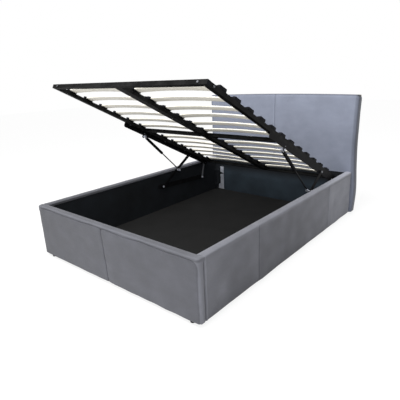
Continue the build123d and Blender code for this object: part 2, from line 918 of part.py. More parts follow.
# The floor
floor_halves = [(foot_core_back, floor_middle), (floor_middle, head_face)]
save("floor_boards", *[floor_board(span) for span in floor_halves])
save("floor_cloth", floor_cloth())
save("floor_ledges", *both(side_ledge()), foot_ledge())
save("floor_bearer", floor_bearer())
save("bearer_glides", *bearer_glides())
save("feet", *feet())

# Corner joints
save("corner_brackets", *both(corner_bracket(lined_foot, 1)), *both(corner_bracket(lined_head, -1)))
save("corner_bolts", *[piece for bolt in corner_bolts() for piece in both(bolt)])

# Lift hardware on the rails
save("right_base_plate", base_plate())
save("left_base_plate", flipped(base_plate()))
save("base_plate_screws", *[piece for screw in plate_screws() for piece in both(screw)])
save("base_pivot_pins", *[piece for spot in (front_base, rear_base) for piece in both(base_pivot(*spot))])
save("base_pivot_spacers", *[piece for spot in (front_base, rear_base) for piece in both(base_spacer(*spot))])

# Moving arms and struts
movers = {
    "front_arm": front_arm(),
    "front_arm_stud": arm_stud(),
    "rear_arm": rear_arm(),
    "rear_arm_pin": rear_arm_pin(),
    "strut_cylinder": strut_cylinder(),
    "strut_upper_eye": strut_upper_eye(),
    "strut_rod": strut_rod(),
    "strut_lower_eye": strut_lower_eye(),
}
for name, piece in movers.items():
    save("right_" + name, piece)
    save("left_" + name, flipped(piece))

# Slat frame, raised
save("foot_tube", raised * foot_tube())
save("head_tube", raised * head_tube())
save("centre_tube", raised * centre_tube())
save("right_side_tube", raised * side_tube())
save("left_side_tube", raised * flipped(side_tube()))
save("cross_tubes", *[raised * piece for piece in both(cross_tube())])
save("tube_end_caps", *[raised * cap for cap in tube_caps()])
save("right_lift_angle", raised * lift_angle())
save("left_lift_angle", raised * flipped(lift_angle()))
save("frame_bolts", *[raised * piece for bolt in frame_bolts() for piece in both(bolt)])
save("frame_pivot_bolts", *[raised * piece for piece in both(frame_pivot()) + both(rear_frame_stud())])
nuts = [frame_pivot_nut(along) for along in (front_frame_pivot, rear_frame_pivot)]
save("frame_pivot_nuts", *[raised * piece for nut in nuts for piece in both(nut)])
save("frame_pivot_spacers", *[raised * piece for piece in both(frame_spacer())])
save("frame_strut_studs", *[raised * piece for piece in both(frame_stud())])

# Slats and their holders
right_slats = [slat(i) for i in range(slat_count)]
outer_holders = [holder(i, holder_outer_x, True) for i in range(slat_count)]
inner_holders = [holder(i, holder_inner_x, False) for i in range(slat_count)]
save("right_slats", *[raised * piece for piece in right_slats])
save("left_slats", *[raised * flipped(piece) for piece in right_slats])
save("outer_slat_holders", *[raised * piece for cap in outer_holders for piece in both(cap)])
save("inner_slat_holders", *[raised * piece for cap in inner_holders for piece in both(cap)])
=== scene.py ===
# %% [markdown]
# # An ottoman storage bed, dressed for its portrait
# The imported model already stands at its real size, with every board, tube and bolt in place.
# This lesson loads it, works out how light and lens should look at it, and then gives each
# surface its real finish: padded fabric, lining cloth, powder-coated steel, beech and zinc.

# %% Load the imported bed
import json
import math

import bpy
import numpy as np
from mathutils import Matrix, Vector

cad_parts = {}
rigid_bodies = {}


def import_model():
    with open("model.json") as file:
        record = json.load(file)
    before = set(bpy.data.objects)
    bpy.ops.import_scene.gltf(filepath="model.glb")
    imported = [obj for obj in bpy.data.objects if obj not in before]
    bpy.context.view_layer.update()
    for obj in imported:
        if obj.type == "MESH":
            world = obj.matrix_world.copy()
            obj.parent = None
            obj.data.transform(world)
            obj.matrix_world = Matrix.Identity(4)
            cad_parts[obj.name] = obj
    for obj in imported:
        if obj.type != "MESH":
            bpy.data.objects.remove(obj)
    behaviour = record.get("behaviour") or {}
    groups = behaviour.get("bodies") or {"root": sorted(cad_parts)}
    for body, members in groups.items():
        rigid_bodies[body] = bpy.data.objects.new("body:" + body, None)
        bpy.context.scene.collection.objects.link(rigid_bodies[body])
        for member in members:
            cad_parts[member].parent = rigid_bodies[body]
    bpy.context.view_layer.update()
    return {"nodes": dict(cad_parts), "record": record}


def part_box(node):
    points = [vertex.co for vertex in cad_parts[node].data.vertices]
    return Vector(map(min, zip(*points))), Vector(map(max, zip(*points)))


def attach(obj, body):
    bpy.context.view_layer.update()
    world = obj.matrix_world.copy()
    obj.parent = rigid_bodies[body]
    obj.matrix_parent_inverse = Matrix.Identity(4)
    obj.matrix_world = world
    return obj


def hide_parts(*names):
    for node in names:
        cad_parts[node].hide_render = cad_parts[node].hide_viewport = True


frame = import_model()
mm = 0.001


# %% [markdown]
# ## Camera
# The bed was photographed from beyond its right-hand foot corner, a little above the headboard.
# A camera could be turned by hand until things look right. Three angles say it more plainly:
# how far it stands round the bed, how far it looks down, and how far the horizon leans.

# %% Camera from three angles
camera_place = np.array([1.81344, -2.26142, 1.19357])
camera_round = math.radians(40.6106)
camera_down = math.radians(17.6919)
camera_lean = math.radians(-2.3671)
lens_pixels = 386.53
picture_pixels = 400
sensor_width = 36.0
nearest_seen = 50 * mm


def camera_axes(turn, down, lean):
    """Right, up and backward unit vectors of a camera that looks along +Y before it turns."""
    look = np.array([-math.sin(turn) * math.cos(down), math.cos(turn) * math.cos(down), -math.sin(down)])
    level = np.array([math.cos(turn), math.sin(turn), 0.0])
    upright = np.cross(level, look)
    right = math.cos(lean) * level + math.sin(lean) * upright
    return right, np.cross(right, look), -look


def add_object(name, data, axes=None, place=(0.0, 0.0, 0.0)):
    """A new object in the scene, at a place, with its own X, Y and Z along the axes given."""
    made = bpy.data.objects.new(name, data)
    bpy.context.scene.collection.objects.link(made)
    pose = np.eye(4)
    pose[:3, 3] = place
    if axes is not None:
        pose[:3, :3] = np.column_stack(axes)
    made.matrix_world = Matrix(pose.tolist())
    return made


camera_data = bpy.data.cameras.new("portrait_camera")
camera_data.sensor_width = sensor_width
camera_data.lens = sensor_width * (lens_pixels / picture_pixels)
camera_data.clip_start = nearest_seen
turned = camera_axes(camera_round, camera_down, camera_lean)
camera = add_object("portrait_camera", camera_data, turned, camera_place)
bpy.context.scene.camera = camera
bpy.context.scene.view_settings.view_transform = "Standard"
print("lens", round(camera_data.lens, 2), "mm")


# %% [markdown]
# ## Shader maths that reads like maths
# Blender's materials are graphs of small nodes, and wiring them by hand hides the idea.
# A thin class round one socket lets `1 - mask * 0.5` add the nodes for us. Numbers that never
# change stay plain Python numbers, and any other node comes from one method.

# %% A socket that can be added and multiplied
class Field:
    """A socket of a material's node tree. Operators on it add Math nodes behind it."""

    def __init__(self, tree, socket):
        self.tree = tree
        self.socket = socket

    def node(self, kind, settings=None, inputs=None, output=0):
        """Any node: its type, its settings, its inputs by name or number, and the output to use."""
        return new_node(self.tree, kind, settings, inputs, output)

    def math(self, operation, *others):
        """A Math node on this socket and the others."""
        settings = {"operation": operation}
        return self.node("ShaderNodeMath", settings, dict(enumerate((self, *others))))

    def __add__(self, other):
        return self.math("ADD", other)

    def __sub__(self, other):
        return self.math("SUBTRACT", other)

    def __rsub__(self, other):
        return new_node(self.tree, "ShaderNodeMath", {"operation": "SUBTRACT"}, {0: other, 1: self})

    def __mul__(self, other):
        return self.math("MULTIPLY", other)

    def __abs__(self):
        return self.math("ABSOLUTE")

    __radd__ = __add__
    __rmul__ = __mul__

    def sin(self):
        return self.math("SINE")

    def clamp(self):
        return self.math("MAXIMUM", 0.0).math("MINIMUM", 1.0)

    def smooth(self, low, high):
        """0 below low, 1 above high, and an S-shaped ramp between."""
        ends = {"From Min": low, "From Max": high, "To Min": 0.0, "To Max": 1.0, "Value": self}
        return self.node("ShaderNodeMapRange", {"interpolation_type": "SMOOTHSTEP"}, ends)


def new_node(tree, kind, settings=None, inputs=None, output=0):
    """Adds a node, makes its settings, then sets or links its inputs, and returns one output."""
    made = tree.nodes.new(kind)
    for key, value in (settings or {}).items():
        setattr(made, key, value)
    for key, value in (inputs or {}).items():
        if isinstance(value, Field):
            tree.links.new(value.socket, made.inputs[key])
        else:
            made.inputs[key].default_value = value
    return Field(tree, made.outputs[output])


# %% Colours, noise and places for shaders
def linear(red, green, blue):
    """A colour read off a screen, 0 to 255 a channel, as the light values that shaders use, by
    the standard curve of screens."""
    screen = np.array([red, green, blue]) / 255
    light = np.where(screen <= 0.04045, screen / 12.92, ((screen + 0.055) / 1.055) ** 2.4)
    return (*light.tolist(), 1.0)


def mixed(tree, factor, first, second):
    """Two colours mixed by a factor."""
    sockets = {0: factor, 6: first, 7: second}
    return new_node(tree, "ShaderNodeMix", {"data_type": "RGBA"}, sockets, output=2)


def noise(tree, place, scale=1.0, detail=3.0, roughness=0.55):
    """Cloudy grey noise at a place, centred on one half."""
    inputs = {"Vector": place, "Scale": scale, "Detail": detail, "Roughness": roughness}
    return new_node(tree, "ShaderNodeTexNoise", {}, inputs)


def object_place(tree):
    """Where a point lies on the piece, in metres."""
    return new_node(tree, "ShaderNodeTexCoord", output=3)


def cloth_place(tree):
    """Metres along and across the cloth, from the piece's own unwrapping."""
    return new_node(tree, "ShaderNodeTexCoord", output=2)


def split(place):
    """The three parts of a vector."""
    first = place.node("ShaderNodeSeparateXYZ", {}, {0: place})
    return [Field(place.tree, part) for part in first.socket.node.outputs]


def stretched(place, x, y, z):
    """A place scaled by its own amount along each axis."""
    return new_node(place.tree, "ShaderNodeMapping", {}, {"Vector": place, "Scale": (x, y, z)})


def bumped(height, depth):
    """A surface normal tilted as if the surface rose by depth where height is 1."""
    return height.node("ShaderNodeBump", {}, {"Height": height, "Strength": 1.0, "Distance": depth})


# %% A named finish
materials = {}


def material(name, build, **constants):
    """A named finish: constants go on the shader itself, and build returns what varies."""
    made = bpy.data.materials.new(name)
    made.use_nodes = True
    tree = made.node_tree
    shader = tree.nodes["Principled BSDF"]
    for socket, value in constants.items():
        shader.inputs[socket.replace("_", " ")].default_value = value
    for socket, field in build(tree).items():
        tree.links.new(field.socket, shader.inputs[socket])
    materials[name] = made
    print("finish", name)


# %% [markdown]
# ## Upholstery
# The cover is a soft grey-blue plush cloth. Up close it is a fine weave with a short nap, and
# from a step away the nap lies in cloudy patches, lighter where it was brushed up. A photograph
# of cloth could be tiled over it, but it would repeat. Threads worked out from the cloth's own
# metres stay sharp at any distance and follow every fold.

# %% Plush upholstery
thread_pitch = 1.1 * mm
nap_depth = 0.25 * mm


def plush(dark, pale, thread):
    """A builder: weave from two crossed sine waves, nap patches from slow noise, in cloth metres.
    Each cover also carries painted light and shade, which makes its colour paler or darker."""

    def build(tree):
        cloth = cloth_place(tree)
        along, across, _ = split(cloth)
        warp = abs((along * (math.pi / thread_pitch)).sin())
        weft = abs((across * (math.pi / thread_pitch)).sin())
        slub = noise(tree, stretched(cloth, 90.0, 900.0, 1.0), detail=2.0)
        patches = noise(tree, cloth, scale=7.0, detail=5.0)
        strokes = noise(tree, stretched(cloth, 9.0, 22.0, 1.0))
        brushed = (patches * 0.7 + strokes * 0.3).smooth(0.3, 0.72)
        base = mixed(tree, brushed, dark, pale)
        colour = mixed(tree, slub.smooth(0.3, 0.75) * 0.35, base, thread)
        height = warp * weft * 0.5 + slub * 0.3 + brushed * 0.2
        # painted light and shade: each cover's attribute makes its colour paler or darker where light or
        # shade falls
        painted_light_field = new_node(tree, "ShaderNodeAttribute", {"attribute_name": "painted_light"}, output=2)
        lit = new_node(tree, "ShaderNodeVectorMath", {"operation": "SCALE"}, {0: colour, 3: painted_light_field + 1.0})
        return {
            "Base Color": lit,
            "Roughness": 0.92 - brushed * 0.12,
            "Normal": bumped(height, nap_depth),
        }

    return build


nap = {"Sheen_Weight": 0.25, "Sheen_Roughness": 0.4, "Specular_IOR_Level": 0.2}
# The headboard wears a paler, bluer copy of the plush, standing in for the stronger light on its front:
# painted light.
material("plush", plush(linear(112, 113, 119), linear(122, 123, 131), linear(132, 134, 143)), **nap)
material("plush_painted_lit", plush(linear(136, 142, 158), linear(148, 154, 172), linear(158, 165, 184)), **nap)


# %% [markdown]
# ## Lining, felt and dust cloth
# Inside, the boards wear a black non-woven lining, the floor a dark felt, and the headboard's
# back a thin dust cloth. All of them are pressed fibres with no weave, so tangled noise at fibre
# size makes them, and only their colour and nap differ. The panel at the head end wears a paler
# copy of the lining as painted light, and under its top edge its colour blends by height into a
# painted shade, where the frame's head tube shades it.

# %% Pressed fibre cloths
# A painted shade on the head-end panel under the frame's head tube: its full height, ramp and colour.
full_painted_shade_height = 305 * mm
painted_shade_ramp = 95 * mm
painted_shade_colour = linear(24, 27, 31)


def pressed_fibres(dark, pale, fibre_scale, depth, painted_shade_above=None):
    """A builder for non-woven cloth: fine tangled noise over slow shade changes. Where a height is
    given last, the cloth keeps its colours below it and blends into a painted shade above it."""

    def build(tree):
        place = object_place(tree)
        fibres = noise(tree, place, fibre_scale, detail=6.0, roughness=0.7)
        shade = noise(tree, place, scale=5.0, detail=2.0)
        mask = (fibres * 0.6 + shade * 0.4).smooth(0.35, 0.65)
        colour = mixed(tree, mask, dark, pale)
        if painted_shade_above:
            # painted shade: above this height the cloth takes the darker colour, as shade from the tube above
            in_painted_shade = split(place)[2].smooth(painted_shade_above - painted_shade_ramp, painted_shade_above)
            colour = mixed(tree, in_painted_shade, colour, painted_shade_colour)
        return {
            "Base Color": colour,
            "Roughness": 0.85 + fibres * 0.1,
            "Normal": bumped(fibres, depth),
        }

    return build


dull = {"Specular_IOR_Level": 0.22}
for name, dark, pale, fibre_scale, depth, painted_shade_above, shine in (
    ("lining", (17, 19, 22), (30, 34, 39), 700.0, 0.2 * mm, None, dull),
    # a paler copy of the lining for the head-end panel: painted light, with painted shade near its top
    ("end_lining", (41, 49, 56), (59, 70, 80), 700.0, 0.2 * mm, full_painted_shade_height, dull),
    ("felt", (23, 23, 23), (30, 30, 30), 500.0, 0.3 * mm, None, dull),
    ("dust_cloth", (22, 22, 24), (34, 34, 37), 900.0, 0.15 * mm, None, {}),
):
    material(name, pressed_fibres(linear(*dark), linear(*pale), fibre_scale, depth, painted_shade_above), **shine)


# %% [markdown]
# ## Steel, zinc and plastic
# The frame is powder coated: a fine orange-peel skin, nearly black. Brackets and pins are bright
# zinc with faint patches, the frame's bolts and the rear arms a duller one, the piston rods are
# blackened, and the slat holders are moulded plastic. One builder makes all of them from two
# colours, a grain size, how deep the grain is and how rough the skin.

# %% Coated and plated finishes
def grained(dark, pale, grain_scale, depth, rough_low, rough_high):
    """A builder for a hard finish: fine grain in the skin, slow patches in colour and gloss."""

    def build(tree):
        place = object_place(tree)
        grain = noise(tree, place, grain_scale, detail=2.0)
        patches = noise(tree, place, scale=14.0, detail=4.0)
        mask = patches.smooth(0.35, 0.7)
        return {
            "Base Color": mixed(tree, mask, dark, pale),
            "Roughness": rough_low + patches * (rough_high - rough_low),
            "Normal": bumped(grain, depth),
        }

    return build


matt = {"Specular_IOR_Level": 0.06}
for name, dark, pale, grain_scale, depth, roughness, shine in (
    ("powder_coat", (12, 12, 12), (34, 34, 34), 900.0, 0.08 * mm, (0.5, 0.7), matt),
    ("black_paint", (16, 16, 17), (25, 25, 27), 600.0, 0.05 * mm, (0.5, 0.7), matt),
    ("zinc", (196, 200, 212), (220, 224, 234), 400.0, 0.02 * mm, (0.4, 0.55), {"Metallic": 0.4}),
    ("dull_zinc", (100, 102, 106), (130, 132, 137), 400.0, 0.03 * mm, (0.5, 0.65), {"Metallic": 0.3}),
    ("piston_steel", (20, 20, 21), (28, 28, 29), 300.0, 0.01 * mm, (0.25, 0.4), matt),
    ("moulded_plastic", (12, 13, 17), (22, 23, 28), 800.0, 0.06 * mm, (0.45, 0.65), matt),
):
    material(name, grained(linear(*dark), linear(*pale), grain_scale, depth, *roughness), **shine)


# %% [markdown]
# ## Beech and board
# The slats are pale laminated beech. Its grain is long fine streaks with short dark flecks, so
# noise is squeezed across the grain and drawn out along it. Raw boards hide inside, and get chips
# of several browns from a cell pattern.

# %% Beech slats and raw board
grain_depth = 0.06 * mm
chip_depth = 0.1 * mm
chip_scale = 260.0


def beech(tree):
    """Streaks forty times longer than wide along X, with darker flecks where noise peaks."""
    place = object_place(tree)
    streaks = noise(tree, stretched(place, 4.0, 160.0, 160.0), detail=5.0, roughness=0.6)
    flecks = noise(tree, stretched(place, 60.0, 900.0, 900.0), detail=2.0)
    grain = mixed(tree, streaks.smooth(0.3, 0.72), linear(226, 221, 206), linear(243, 240, 231))
    fleck_mask = flecks.smooth(0.62, 0.75) * 0.35
    return {
        "Base Color": mixed(tree, fleck_mask, grain, linear(196, 182, 156)),
        "Roughness": 0.45 + streaks * 0.2,
        "Normal": bumped(streaks * 0.7 + flecks * 0.3, grain_depth),
    }


def raw_board(tree):
    """Pressed chips: one brown for each cell of a fine pattern."""
    cells = {"Vector": object_place(tree), "Scale": chip_scale}
    chips = new_node(tree, "ShaderNodeTexVoronoi", {}, cells)
    tone = split(new_node(tree, "ShaderNodeTexVoronoi", {}, cells, output=1))[0]
    return {
        "Base Color": mixed(tree, tone, linear(176, 145, 104), linear(206, 178, 136)),
        "Roughness": 0.75 + tone * 0.15,
        "Normal": bumped(chips, chip_depth),
    }


material("beech", beech, Coat_Weight=0.15, Coat_Roughness=0.3)
material("raw_board", raw_board)


# %% [markdown]
# ## Pieces from grids
# Every new piece is a grid of points worked out as whole arrays, then joined with four-cornered
# faces. One helper makes the faces, another turns them outwards by the sign of the volume they
# enclose, and a third puts the piece on the part of the bed that carries it.

# %% Grid faces, outward turning and placing
def ring_faces(rows, columns):
    """Quads between neighbouring rows and columns of a grid whose last row joins the first."""
    row = np.arange(rows)[:, None]
    column = np.arange(columns - 1)[None, :]
    here = row * columns + column
    beside = (row + 1) % rows * columns + column
    return np.stack([here, here + 1, beside + 1, beside], axis=-1).reshape(-1, 4)


def pair_caps(rows, columns):
    """Quads that close both open ends of a ring: row i is joined across to row rows - 1 - i."""
    low = np.arange(rows // 2 - 1)
    across = rows - 1 - low
    caps = []
    for column in (0, columns - 1):
        at = [low, low + 1, across - 1, across]
        quads = np.stack([rows_of * columns + column for rows_of in at], axis=-1)
        caps.append(quads[:, ::-1] if column else quads)
    return np.concatenate(caps)


def outward(points, faces):
    """The same quads, all reversed if the volume under them comes out negative."""
    a, b, c, d = (points[faces[:, i]] for i in range(4))
    volume = (a * np.cross(b, c)).sum() + (a * np.cross(c, d)).sum()
    return faces if volume > 0 else faces[:, ::-1]


def piece(name, points, faces, finish, body, cloth_uv=None, smooth=True, stands_for=()):
    """A mesh object from arrays, with its finish, riding on a body of the bed."""
    mesh = bpy.data.meshes.new(name)
    mesh.from_pydata(points.reshape(-1, 3).tolist(), [], faces.tolist())
    if cloth_uv is not None:
        corners = np.empty(len(mesh.loops), dtype=np.int32)
        mesh.loops.foreach_get("vertex_index", corners)
        layer = mesh.uv_layers.new(name="cloth")
        layer.data.foreach_set("uv", cloth_uv.reshape(-1, 2)[corners].ravel())
    mesh.polygons.foreach_set("use_smooth", [smooth] * len(mesh.polygons))
    mesh.materials.append(materials[finish])
    made = add_object(name, mesh)
    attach(made, body)
    if stands_for:
        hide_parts(*stands_for)
    print(name, len(points.reshape(-1, 3)), "points")
    return made


# %% [markdown]
# ## Padded boards
# Headboard, footboard and rails are boards wrapped in thin foam and cloth. Simulated cloth would
# find its own shape, but these covers are stapled tight, so their shape is known: a flat panel
# with soft edges. It is drawn as one closed profile, up the front, over the top and down the
# back, carried from end to end. At each end the profile shrinks along a quarter circle, which
# rounds the upright edges as well. Each cover also has a function of painted light and shade:
# how much paler (above zero) or darker (below zero) its colour is made at each point, as painted
# highlights on rolls and lips and painted shade in creases, seams, joints and on faces with less light.

# %% Small curves that the shapes add up from
def valley(distance, width):
    """1 on a line, falling off on both sides as a bell curve of that width."""
    return np.exp(-((distance / width) ** 2))


def bells(place, curves):
    """A sum of bell curves, each given by its middle, its width and its height."""
    return sum(height * valley(place - middle, width) for middle, width, height in curves)


def ramp(distance, length):
    """0 up to a distance of zero, then straight up to 1 over that length."""
    return np.clip(distance / length, 0, 1)


def hump(share):
    """A parabola over a share of the way: 0 at both ends and beyond them, 1 in the middle."""
    return np.clip(4 * share * (1 - share), 0, 1)


def share_up(height, low, high):
    """How far up a box a height lies: 0 at its bottom, 1 at its top."""
    return (height - low[2]) / (high[2] - low[2])


# %% The profile of a padded board
fine_step = 1.8 * mm
bottom_roll = 4 * mm
bottom_lines = np.array([0.0, 1.0, 2.5]) * mm
recess_run = 3 * mm
recess_lines = np.array([-3.0, -2.0, -1.0, 0.0]) * mm
top_lines = 6
arc_lines = 8
crown_fullness = 0.7


def padded_profile(thickness, low, high, radius, step, recess=0.0, recess_top=None, crown=0.0, fine=0.0):
    """Depth and height round a padded board: straight sides, quarter-circle top edges and a
    small roll at the bottom. Below recess_top the back steps in by recess, for the lining. The
    top swells by crown in its middle, and the lines lie close for a length of fine below it."""
    turn = np.linspace(0, math.pi / 2, arc_lines)[1:-1]
    lines = [np.linspace(low, high - radius, int((high - low) / step))[1:]]
    lines.append(low + bottom_lines)
    lines.append(np.arange(high - max(fine, radius), high - radius, fine_step))
    if recess_top is not None:
        lines.append(recess_top + recess_lines)
    heights = np.unique(np.concatenate(lines))
    lift = np.clip(bottom_roll - (heights - low), 0, bottom_roll)
    tuck = bottom_roll - np.sqrt(bottom_roll**2 - lift**2)
    back = thickness - tuck
    if recess_top is not None:
        back = back - recess * ramp(recess_top - heights, recess_run)
    arc_depth = radius * (1 - np.cos(turn))
    arc_height = high - radius * (1 - np.sin(turn))
    top = np.linspace(radius, thickness - radius, top_lines)
    swell = high + crown * np.sin(math.pi * np.linspace(0, 1, top_lines)) ** crown_fullness
    depth = np.concatenate([tuck, arc_depth, top, thickness - arc_depth[::-1], back[::-1]])
    height = np.concatenate([heights, arc_height, swell, arc_height[::-1], heights[::-1]])
    return depth, height


# %% Stations along it
beside_seam = np.array([0.0, 1.0, 2.0, 3.0, 4.5, 6.5, 9.0, 12.0, 16.0]) * mm
end_stations = 7


def padded_stations(length, radius, step, seams, fine=0.0):
    """Places along a board and how far the profile shrinks there: quarter circles at the ends,
    even steps between, and close lines beside each seam and for a length of fine at both ends."""
    turn = np.linspace(0, math.pi / 2, end_stations)
    end = radius * (1 - np.cos(turn))
    places = [end, length - end, np.linspace(radius, length - radius, int(length / step))]
    places += [seam + side * beside_seam for seam in seams for side in (-1, 1)]
    close = np.arange(radius, max(fine, radius), fine_step)
    places += [close, length - close]
    place = np.unique(np.concatenate(places).round(6))
    from_end = np.minimum(place, length - place)
    into_round = np.clip(radius - from_end, 0, radius)
    return place, radius - np.sqrt(radius**2 - into_round**2)


def padded_board(profile, stations, back_share, top_share=1.0):
    """Grids of (along, depth, height): the profile at every station, shrunk by the station's
    inset at the front, and by back_share and top_share of it at the back and the top."""
    depth, height = (values[:, None] for values in profile)
    along, inset = (values[None, :] for values in stations)
    thickness, low, high = depth.max(), height.min(), height.max()
    shrunk_depth = inset + depth * (thickness - inset * (1 + back_share)) / thickness
    shrunk_height = low + (height - low) * (high - low - inset * top_share) / (high - low)
    return np.broadcast_to(along, shrunk_depth.shape), shrunk_depth, shrunk_height


# %% Normals, cloth metres, closed ends and waves
wave_count = 14


def surface_normals(points):
    """Unit normals of a grid of points, from the cross product of its two directions."""
    normal = np.cross(np.gradient(points, axis=1), np.gradient(points, axis=0))
    return normal / np.maximum(np.linalg.norm(normal, axis=-1, keepdims=True), 1e-9)


def cloth_metres(points):
    """How far each point lies along the cloth, lengthways and round the profile."""
    steps = np.linalg.norm(np.diff(points, axis=0), axis=-1)
    round_way = np.vstack([np.zeros(points.shape[1]), np.cumsum(steps, axis=0)])
    middle = round_way[:, points.shape[1] // 2][:, None] + 0 * round_way
    steps = np.linalg.norm(np.diff(points, axis=1), axis=-1)
    long_way = np.hstack([np.zeros((points.shape[0], 1)), np.cumsum(steps, axis=1)])
    return np.stack([long_way, middle], axis=-1)


def closed(points):
    """Faces of a ring of rows, with both of its open ends capped and everything turned outwards."""
    rows, columns = points.shape[:2]
    faces = np.concatenate([ring_faces(rows, columns), pair_caps(rows, columns)])
    return outward(points.reshape(-1, 3), faces)


def ripple(a, b, seed, size):
    """Smooth random waves: a sum of sines of random direction and length about size."""
    random = np.random.default_rng(seed)
    total = np.zeros(np.broadcast(a, b).shape)
    for _ in range(wave_count):
        angle = random.uniform(0, math.pi)
        wave = 2 * math.pi / (size * random.uniform(0.6, 1.8))
        phase = random.uniform(0, 2 * math.pi)
        total = total + np.sin(wave * (a * math.cos(angle) + b * math.sin(angle)) + phase)
    return total / math.sqrt(wave_count)


# %% A padded piece
# How far behind a board's front its painted light and shade reach
painted_light_reach = 28 * mm
painted_light_fading = 20 * mm


def facing(depth):
    """1 on a board's front, fading out on the way to the reach of the painted light and shade behind it."""
    return ramp(painted_light_reach - depth, painted_light_fading)


def padded_piece(name, node, finish, grids, place, relief, painted_light, flipped=False):
    """A padded board as a piece: the grids placed in the room, raised by relief along their
    normals, mirrored to the left if asked, closed, given painted light and shade in its colour and
    put in place of its CAD node."""
    points = place(*grids)
    points = points + surface_normals(points) * relief(*grids)[..., None]
    if flipped:
        points = points * np.array([-1.0, 1.0, 1.0])
    made = piece(name, points, closed(points), finish, "base", cloth_metres(points), stands_for=[node])
    # painted light and shade: stored per point and read by the cover's shader
    lift = made.data.attributes.new("painted_light", "FLOAT", "POINT")
    lifts = np.broadcast_to(painted_light(*grids), points.shape[:2])
    lift.data.foreach_set("value", lifts.ravel().astype(np.float32))


# %% [markdown]
# ## Footboard
# Its front panel is sewn into a border that runs along the top and down both ends, with a round
# corner, and a seam divides the panel in the middle. A crease is a narrow valley round a line, so
# it comes from the distance to that line: deep at zero, gone a few millimetres away.

# %% Marks on the footboard's cover
border_wander = 2.0 * mm
border_width = 15 * mm
side_border = 7 * mm
border_corner = 42 * mm
seam_top_shift = -22 * mm
seam_foot_shift = 5 * mm
foot_low, foot_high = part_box("footboard_cover")
foot_length = foot_high[0] - foot_low[0]
foot_thickness = foot_high[1] - foot_low[1]


def inside_frame(x, z, half_width, top, radius):
    """Signed distance to a panel with two rounded top corners: below zero inside it."""
    side = np.abs(x) - (half_width - radius)
    rise = z - (top - radius)
    outside = np.hypot(np.maximum(side, 0), np.maximum(rise, 0))
    return outside + np.minimum(np.maximum(side, rise), 0) - radius


def foot_place(along, depth, height):
    """Along runs to the right, depth runs towards the headboard."""
    return np.stack([foot_low[0] + along, foot_low[1] + depth, height], axis=-1)


def foot_marks(along, height):
    """Distances outwards from the border's wavy crease and sideways from the leaning seam."""
    x = along - foot_length / 2
    wander = border_wander * ripple(x, height, seed=31, size=0.3)
    half_width, top = foot_length / 2 - side_border, foot_high[2] - border_width
    border = inside_frame(x, height, half_width, top, border_corner)
    lean = seam_top_shift * share_up(height, foot_low, foot_high)
    return wander + border, x - lean - seam_foot_shift


# %% Relief of the footboard's cover
relief_depth = 8 * mm
foot_crown = 3.0 * mm
foot_crown_run = 60 * mm
foot_border_shape = ((0.0, 3.2 * mm, -3.2 * mm), (9 * mm, 6 * mm, 1.0 * mm))
foot_seam_shape = ((0.0, 3.0 * mm, 4.0 * mm), (0.0, 12 * mm, 1.0 * mm))
pucker_depth = 0.5 * mm
pucker_reach = 45 * mm
wave_depth = 0.8 * mm


def foot_relief(along, depth, height):
    """On the front only: a crown, the border's crease with a roll outside it, the middle seam and
    puckers beside the seam."""
    x = along - foot_length / 2
    front = ramp(relief_depth - depth, relief_depth)
    border, from_seam = foot_marks(along, height)
    seam = bells(from_seam, foot_seam_shape) * (border < 0)
    crown = foot_crown * ramp(-border, foot_crown_run) ** 0.5
    pulls = np.sin(height / (8 * mm) + x / (12 * mm))
    pucker = pucker_depth * valley(from_seam, pucker_reach) * pulls
    waves = wave_depth * ripple(x, height, seed=3, size=0.16)
    return front * (crown + bells(border, foot_border_shape) - seam + pucker + waves)


# %% Painted light and shade on the footboard's cover
top_edge = 12 * mm
top_edge_fading = 8 * mm
roll_highlight = 0.42
roll_width = 5 * mm
crease_shade = 0.22
seam_shade = 0.3
mark_width = 3.5 * mm
joint_shade = 0.4
joint_depth = 16 * mm
top_shade = 0.16
far_top_shade = 0.22
corner_lift = 0.7
corner_run = 110 * mm
panel_shade = 0.17
left_shade = 0.15


def foot_painted_light(along, depth, height):
    """Painted highlight on the roll outside the crease. Painted shade on the panel, the more so to
    its left, in the crease, the seam and the corner joints, and on top, which grows paler to the
    right corner."""
    border, from_seam = foot_marks(along, height)
    front = facing(depth)
    upright = ramp(foot_high[2] - top_edge - height, top_edge_fading)
    inside = border < 0
    roll = roll_highlight * ramp(border + roll_width, roll_width) * front * upright
    crease = crease_shade * valley(border, mark_width) * front
    seam = seam_shade * valley(from_seam, mark_width) * inside * front
    joint = joint_shade * ramp(depth - foot_thickness + joint_depth, joint_depth) * upright
    to_corner = 1 - corner_lift * ramp(along - foot_length + corner_run, corner_run)
    top = (top_shade + far_top_shade * ramp(depth - 5 * mm, 6 * mm)) * (1 - upright) * to_corner
    to_left = ramp(foot_length / 2 - along, foot_length / 2)
    panel = (panel_shade + left_shade * to_left) * front * upright * inside
    return roll - crease - seam - joint - top - panel


# %% Footboard cover
wrap_height = 20 * mm
lining_step = 4.6 * mm
edge_round = 8 * mm
cloth_step = 9 * mm
underhang = 3 * mm
top_crown = 2.5 * mm
foot_end_round = 13 * mm
foot_fine_height = 62 * mm
foot_fine_ends = 60 * mm


def lined_profile(low, high, thickness, fine=0.0):
    """The profile of a board that wears lining on its back up to wrap_height below its top."""
    bottom, lining_top = low[2] - underhang, high[2] - wrap_height
    return padded_profile(
        thickness, bottom, high[2], edge_round, cloth_step, lining_step, lining_top, top_crown, fine
    )


foot_profile = lined_profile(foot_low, foot_high, foot_thickness, foot_fine_height)
foot_stations = padded_stations(foot_length, foot_end_round, cloth_step, [foot_length / 2], foot_fine_ends)
foot_grids = padded_board(foot_profile, foot_stations, back_share=1.0, top_share=0.4)
padded_piece(
    "footboard_padding",
    "footboard_cover",
    "plush",
    foot_grids,
    foot_place,
    foot_relief,
    foot_painted_light,
)


